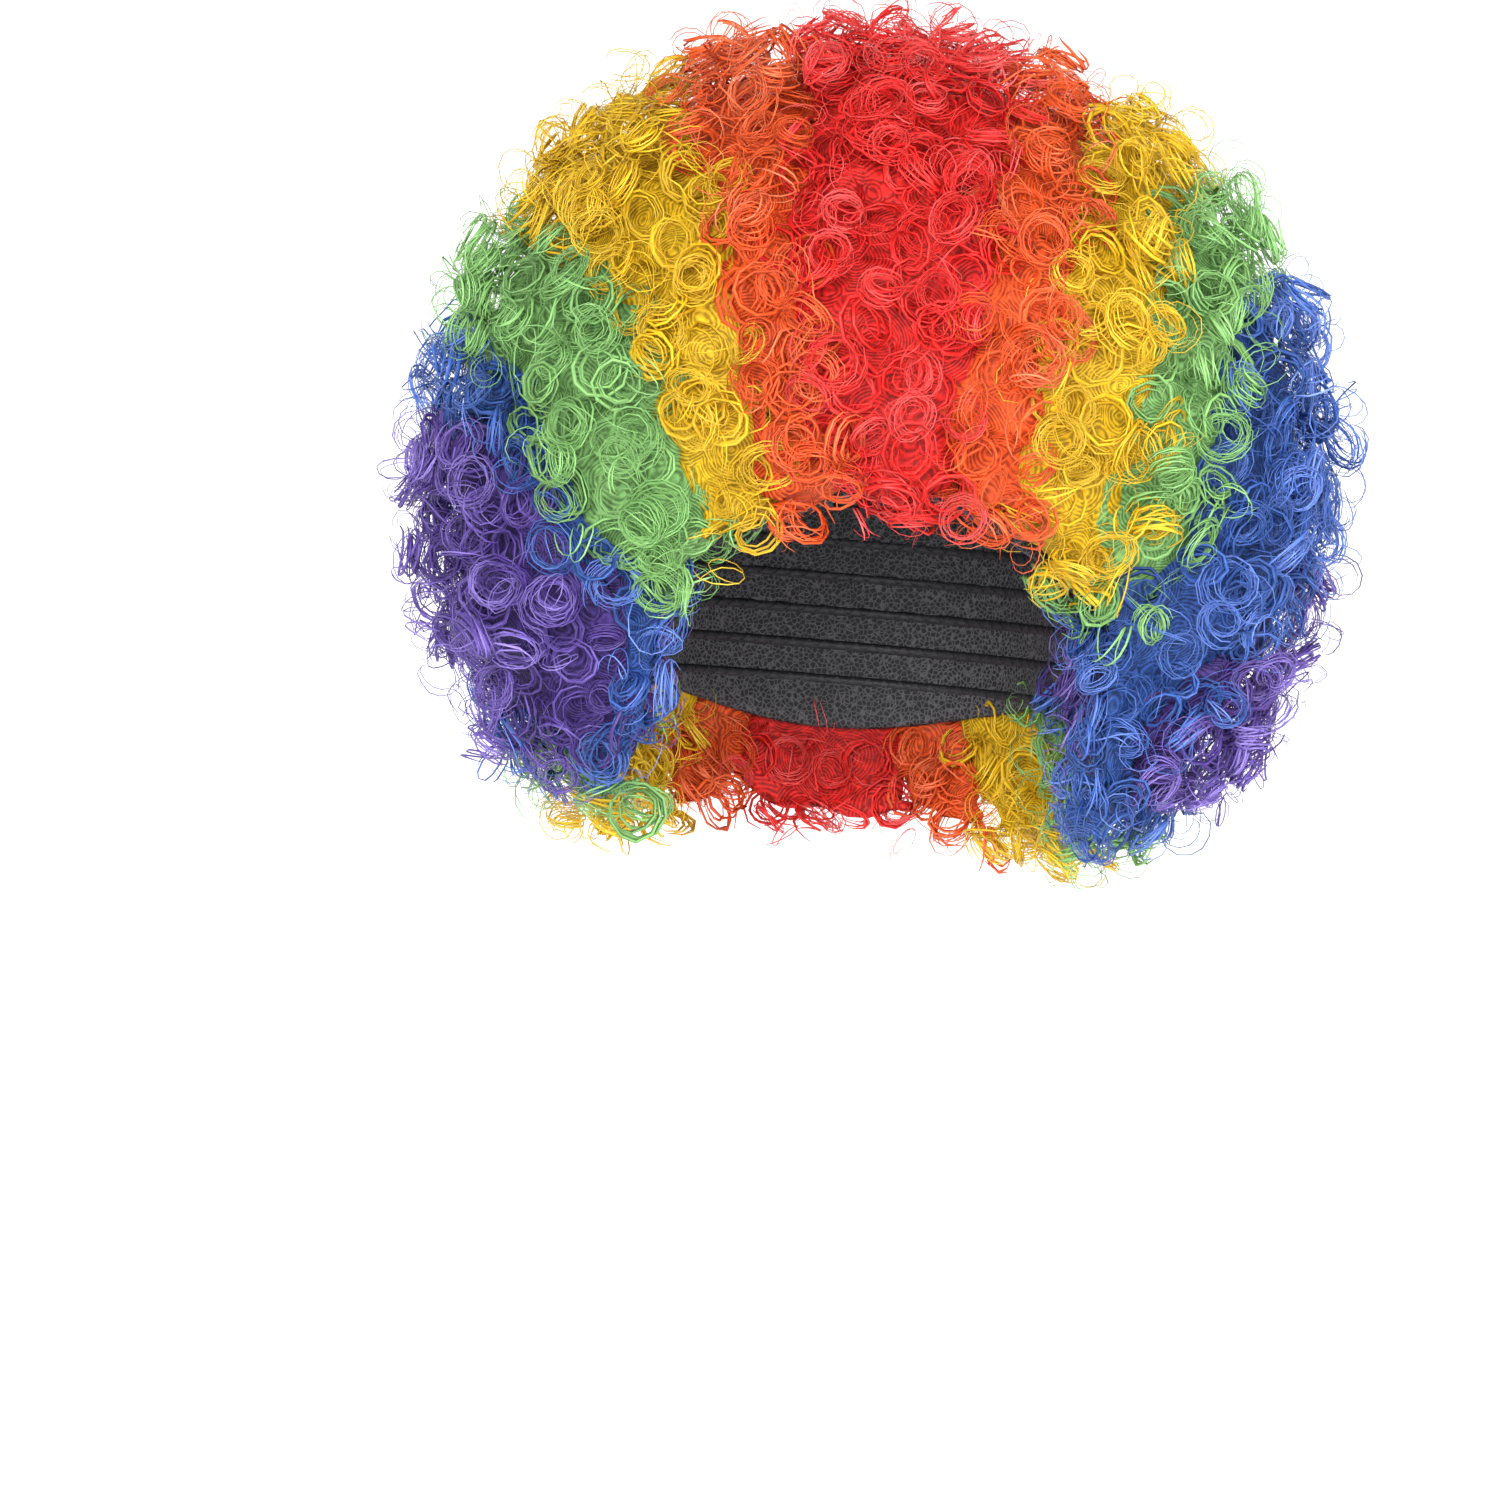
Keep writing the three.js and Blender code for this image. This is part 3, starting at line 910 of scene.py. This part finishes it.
def mark_outside(mesh, outside, cap):
    """Stores on each vertex if it is open to the air, its depth, the room inward, and the way inward."""
    kinds = {AIR: "FLOAT", COVER: "FLOAT", ROOM: "FLOAT", INWARD: "FLOAT_VECTOR"}
    for name, kind in kinds.items():
        mesh.attributes.new(name, kind, "POINT")
    air, cover, room, inward = (mesh.attributes[name].data for name in kinds)
    for vertex in mesh.vertices:
        normal, distance = outside.find_nearest(vertex.co)[1::2]
        is_open = distance < OPEN_REACH and vertex.normal.dot(normal) > -0.2
        through = outside.ray_cast(vertex.co - normal * 2.0 * OPEN_REACH, -normal)[3] or math.inf
        to_cap = cap.find_nearest(vertex.co)[3] - CAP_CLEAR
        air[vertex.index].value = 1.0 if is_open else 0.0
        cover[vertex.index].value = distance
        room[vertex.index].value = max(0.0, min(through * SINK_SHARE, to_cap))
        inward[vertex.index].vector = -normal


def drop_helpers(mesh):
    """Removes what the node trees stored for their own use."""
    for name in HELPERS:
        if name in mesh.attributes:
            mesh.attributes.remove(mesh.attributes[name])


def settle(made, node):
    """The piece rides with the wig and stands for its node."""
    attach(made, BODY)
    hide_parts(node)


class WIG_OT_hair(bpy.types.Operator):
    """Makes the bands of ringlets"""

    bl_idname = "wig.hair"
    bl_label = "Bands of hair"

    def execute(self, context):
        scene = context.scene
        sizes = group_sizes(scene, {"Ringlet": "wig_ringlets", "Inner": "wig_inner", "Fuzz": "wig_fuzz"})
        tree = band_tree(strand_tree(), sizes)
        outside = outside_of_hair()
        cap = search_tree([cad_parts["cap"].data])
        materials = hair_materials(scene.wig_colours)
        for number, node in enumerate(HAIR_NODES):
            name = node.split("_")[1]
            made = solid_surface(node.replace("hair", "curls"), node, scene.wig_fuzz.grain)
            mark_outside(made.data, outside, cap)
            set_inputs(made, tree, {**sizes, "Seed": SCATTER_SEED + number, **materials[name]})
            applied(made)
            drop_helpers(made.data)
            settle(made, node)
        return {"FINISHED"}


class WIG_OT_net_cap(bpy.types.Operator):
    """Makes the net cap with its sewn rows"""

    bl_idname = "wig.net_cap"
    bl_label = "Net cap"

    def execute(self, context):
        scene = context.scene
        made = new_object("net_cap", merged_copy("cap"))
        smooth = made.modifiers.new("Smooth", "SUBSURF")
        smooth.levels = smooth.render_levels = 1
        applied(made)
        add_row_lines(made.data, scene.wig_net.row_spacing)
        sizes = group_sizes(scene, {"Net": "wig_net"})
        set_inputs(made, row_tree(sizes), {
            **sizes,
            "Net": net_material("net", tuple(scene.wig_colours.net), scene.wig_net.mesh_pitch),
            "Tape": tape_material("tape", tuple(scene.wig_colours.tape)),
        })
        applied(made)
        drop_helpers(made.data)
        settle(made, "cap")
        return {"FINISHED"}


def add_row_lines(mesh, spacing):
    """Adds a loose line to the cap's mesh wherever a sewn row runs round its inside."""
    low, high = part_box("cap")
    cut = bmesh.new()
    cut.from_mesh(mesh)
    whole = bmesh.new()
    whole.from_mesh(mesh)
    rows = int((high.z - low.z) / spacing)
    for row in range(1, rows):
        level = Vector((0.0, 0.0, high.z - row * spacing))
        everything = cut.verts[:] + cut.edges[:] + cut.faces[:]
        found = bmesh.ops.bisect_plane(cut, geom=everything, plane_co=level, plane_no=(0.0, 0.0, 1.0))
        ends = {}
        for edge in found["geom_cut"]:
            if isinstance(edge, bmesh.types.BMEdge) and looks_inward(edge, level):
                for vertex in edge.verts:
                    if vertex not in ends:
                        ends[vertex] = whole.verts.new(vertex.co)
                whole.edges.new([ends[vertex] for vertex in edge.verts])
    whole.to_mesh(mesh)
    whole.free()
    cut.free()


def looks_inward(edge, middle):
    """Whether an edge lies on the inside of the cap."""
    return all(face.normal.dot(middle - face.calc_center_median()) > 0.0 for face in edge.link_faces)


def row_tree(sizes):
    """The tree that lays a tape and a zigzag thread along the loose lines in the cap."""
    tree, graph = new_tree("Net cap", [
        ("Cap", "Geometry"),
        *size_sockets(sizes),
        ("Net", "Material"),
        ("Tape", "Material"),
    ])
    given = graph.add("NodeGroupInput").outputs
    faces = graph.add("GeometryNodeInputMeshEdgeNeighbors").outputs[0]
    loose = graph.math("LESS_THAN", faces, 0.5)
    lines = graph.add("GeometryNodeMeshToCurve", {"Mesh": given["Cap"], "Selection": loose}).outputs[0]
    rows = graph.add(
        "GeometryNodeResampleCurve", {"Curve": lines, "Length": given["Net stitch length"]}, mode="LENGTH"
    ).outputs[0]
    tape = graph.tube(rows, 4, given["Net row thickness"], given["Net row width"])
    width = given["Net thread width"]
    thread = graph.tube(zigzag(graph, given, rows), 3, width, width)
    shell = graph.add(
        "GeometryNodeDeleteGeometry", {"Geometry": given["Cap"], "Selection": loose}, domain="EDGE"
    ).outputs[0]
    sewn = graph.dressed(graph.joined([tape, thread]), given["Tape"])
    graph.finished(graph.joined([graph.dressed(shell, given["Net"]), sewn]))
    return tree


def zigzag(graph, given, rows):
    """The rows' lines moved to and fro, as a thread runs over the tape."""
    index = graph.add("GeometryNodeInputIndex").outputs[0]
    side = graph.between(graph.math("MODULO", index, 2.0), 0.0, 1.0, -0.7, 0.7)
    position = graph.add("GeometryNodeInputPosition").outputs[0]
    to_middle = graph.vectors("MULTIPLY", position, (-1.0, -1.0, 0.0))
    inward = graph.scaled(graph.vectors("NORMALIZE", to_middle), given["Net row thickness"])
    across = graph.vector(z=graph.math("MULTIPLY", side, given["Net row width"]))
    return graph.moved(rows, graph.vectors("ADD", inward, across))


def net_material(name, base, pitch):
    """Matt stretch net: paler yarns round dark meshes."""
    material, graph, shader = new_material(name)
    place = graph.add("ShaderNodeTexCoord").outputs["Object"]
    mesh = graph.add(
        "ShaderNodeTexVoronoi", {"Vector": place, "Scale": 1.0 / pitch}, feature="DISTANCE_TO_EDGE"
    ).outputs["Distance"]
    yarn = graph.between(mesh, 0.05, 0.2, 1.0, 0.0)
    paint(graph, shader, yarn, [(0.0, shade(base, 0.25, 0.0)), (1.0, shade(base, 1.8, 0.0))])
    roughen(graph, shader, yarn, 0.8, 0.5 * MM)
    shader.inputs["Roughness"].default_value = 0.75
    return material


def tape_material(name, base):
    """Woven tape and thread."""
    material, graph, shader = new_material(name)
    place = graph.add("ShaderNodeTexCoord").outputs["Object"]
    weave = graph.add("ShaderNodeTexNoise", {"Vector": place, "Scale": 1200.0}).outputs["Fac"]
    paint(graph, shader, weave, [(0.3, shade(base, 0.7, 0.0)), (0.7, shade(base, 1.8, 0.0))])
    roughen(graph, shader, weave, 0.5, 0.3 * MM)
    shader.inputs["Roughness"].default_value = 0.55
    return material


class WIG_OT_studio(bpy.types.Operator):
    """Makes the floor, the lights and the camera"""

    bl_idname = "wig.studio"
    bl_label = "Studio"

    def execute(self, context):
        sizes = context.scene.wig_studio
        make_cove(sizes)
        make_lights(context.scene, sizes)
        make_sky(context.scene, sizes)
        make_camera(context.scene, sizes)
        context.scene.view_settings.view_transform = "Standard"
        return {"FINISHED"}


def make_cove(sizes):
    """A pale floor that turns up into a backdrop."""
    bend_steps = 16
    bend = sizes.cove_bend
    bend_start = sizes.cove_back - bend
    profile = [(sizes.cove_front, 0.0)]
    for step in range(bend_steps + 1):
        turn = math.pi / 2 * step / bend_steps
        profile.append((bend_start + bend * math.sin(turn), bend - bend * math.cos(turn)))
    profile.append((sizes.cove_back, sizes.cove_top))
    bm = bmesh.new()
    sides = (-sizes.cove_width, sizes.cove_width)
    rows = [[bm.verts.new((x, y, sizes.floor_z + z)) for x in sides] for y, z in profile]
    for low, high in zip(rows, rows[1:]):
        bm.faces.new((low[0], low[1], high[1], high[0]))
    mesh = bpy.data.meshes.new("studio_cove")
    bm.to_mesh(mesh)
    bm.free()
    mesh.shade_smooth()
    material, _, shader = new_material("pale_floor")
    shader.inputs["Base Color"].default_value = (0.9, 0.9, 0.9, 1.0)
    shader.inputs["Roughness"].default_value = 0.9
    shader.inputs["Emission Color"].default_value = (1.0, 1.0, 1.0, 1.0)
    shader.inputs["Emission Strength"].default_value = 0.5
    mesh.materials.append(material)
    new_object("studio_cove", mesh)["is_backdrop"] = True


def make_lights(scene, sizes):
    """Soft light from both sides of the front, and a little from behind."""
    middle = Vector((0.0, 0.0, sizes.middle_z))
    for row in LIGHTS:
        data = bpy.data.lights.new(row["name"], "AREA")
        data.size = row["size"]
        data.energy = row["power"]
        light = bpy.data.objects.new(row["name"], data)
        scene.collection.objects.link(light)
        light.location = row["place"]
        light.rotation_euler = (middle - light.location).to_track_quat("-Z", "Y").to_euler()


def make_sky(scene, sizes):
    """Light from all round, dimmer from above."""
    world = bpy.data.worlds.new("studio")
    world.use_nodes = True
    graph = Graph(world.node_tree)
    background = world.node_tree.nodes["Background"]
    direction = graph.add("ShaderNodeTexCoord").outputs["Generated"]
    height = graph.add("ShaderNodeSeparateXYZ", {"Vector": direction}).outputs["Z"]
    dusk = graph.add("ShaderNodeValToRGB", {"Fac": graph.between(height, -1.0, 1.0, 0.0, 1.0)})
    set_ramp(dusk.color_ramp, [(0.5, (1.0, 1.0, 1.0, 1.0)), (0.8, (0.15, 0.15, 0.15, 1.0))])
    world.node_tree.links.new(dusk.outputs["Color"], background.inputs["Color"])
    background.inputs["Strength"].default_value = sizes.sky
    scene.world = world


def make_camera(scene, sizes):
    """A camera at the picture's viewing angle, rolled so that the wig leans as it does there."""
    out = Vector((
        math.sin(sizes.azimuth) * math.cos(sizes.elevation),
        -math.cos(sizes.azimuth) * math.cos(sizes.elevation),
        math.sin(sizes.elevation),
    ))
    level_right = Vector((0.0, 0.0, 1.0)).cross(out).normalized()
    level_up = out.cross(level_right)
    right = level_right * math.cos(sizes.roll) + level_up * math.sin(sizes.roll)
    up = out.cross(right)
    aim = Vector((0.0, 0.0, sizes.middle_z)) - right * sizes.right - up * sizes.up
    data = bpy.data.cameras.new("camera")
    data.sensor_width = 36.0
    data.lens = data.sensor_width * sizes.distance / sizes.picture
    camera = bpy.data.objects.new("camera", data)
    scene.collection.objects.link(camera)
    turn = Matrix((right, up, out)).transposed().to_4x4()
    camera.matrix_world = Matrix.Translation(aim + out * sizes.distance) @ turn
    scene.camera = camera


class WIG_PT_panel(bpy.types.Panel):
    """Lists the wig's pieces and sizes"""

    bl_idname = "WIG_PT_panel"
    bl_label = "Rainbow afro wig"
    bl_space_type = "VIEW_3D"
    bl_region_type = "UI"
    bl_category = "Wig"

    def draw(self, context):
        for operator in OPERATORS:
            self.layout.operator(operator.bl_idname)
        for group in GROUPS:
            settings = getattr(context.scene, group)
            box = self.layout.box()
            for name in settings.__annotations__:
                box.prop(settings, name)


GROUPS = {
    "wig_colours": WigColours,
    "wig_ringlets": RingletSizes,
    "wig_inner": InnerSizes,
    "wig_fuzz": FuzzSizes,
    "wig_net": NetSizes,
    "wig_studio": StudioSizes,
}
OPERATORS = (WIG_OT_net_cap, WIG_OT_hair, WIG_OT_studio)


def register():
    for cls in (*GROUPS.values(), *OPERATORS, WIG_PT_panel):
        bpy.utils.register_class(cls)
    for name, group in GROUPS.items():
        setattr(bpy.types.Scene, name, PointerProperty(type=group))


def unregister():
    for name in GROUPS:
        delattr(bpy.types.Scene, name)
    for cls in (WIG_PT_panel, *OPERATORS, *GROUPS.values()):
        bpy.utils.unregister_class(cls)


def main():
    """Makes every piece in order."""
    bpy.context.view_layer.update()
    register()
    bpy.ops.wig.net_cap()
    bpy.ops.wig.hair()
    bpy.ops.wig.studio()


if __name__ == "__main__":
    main()
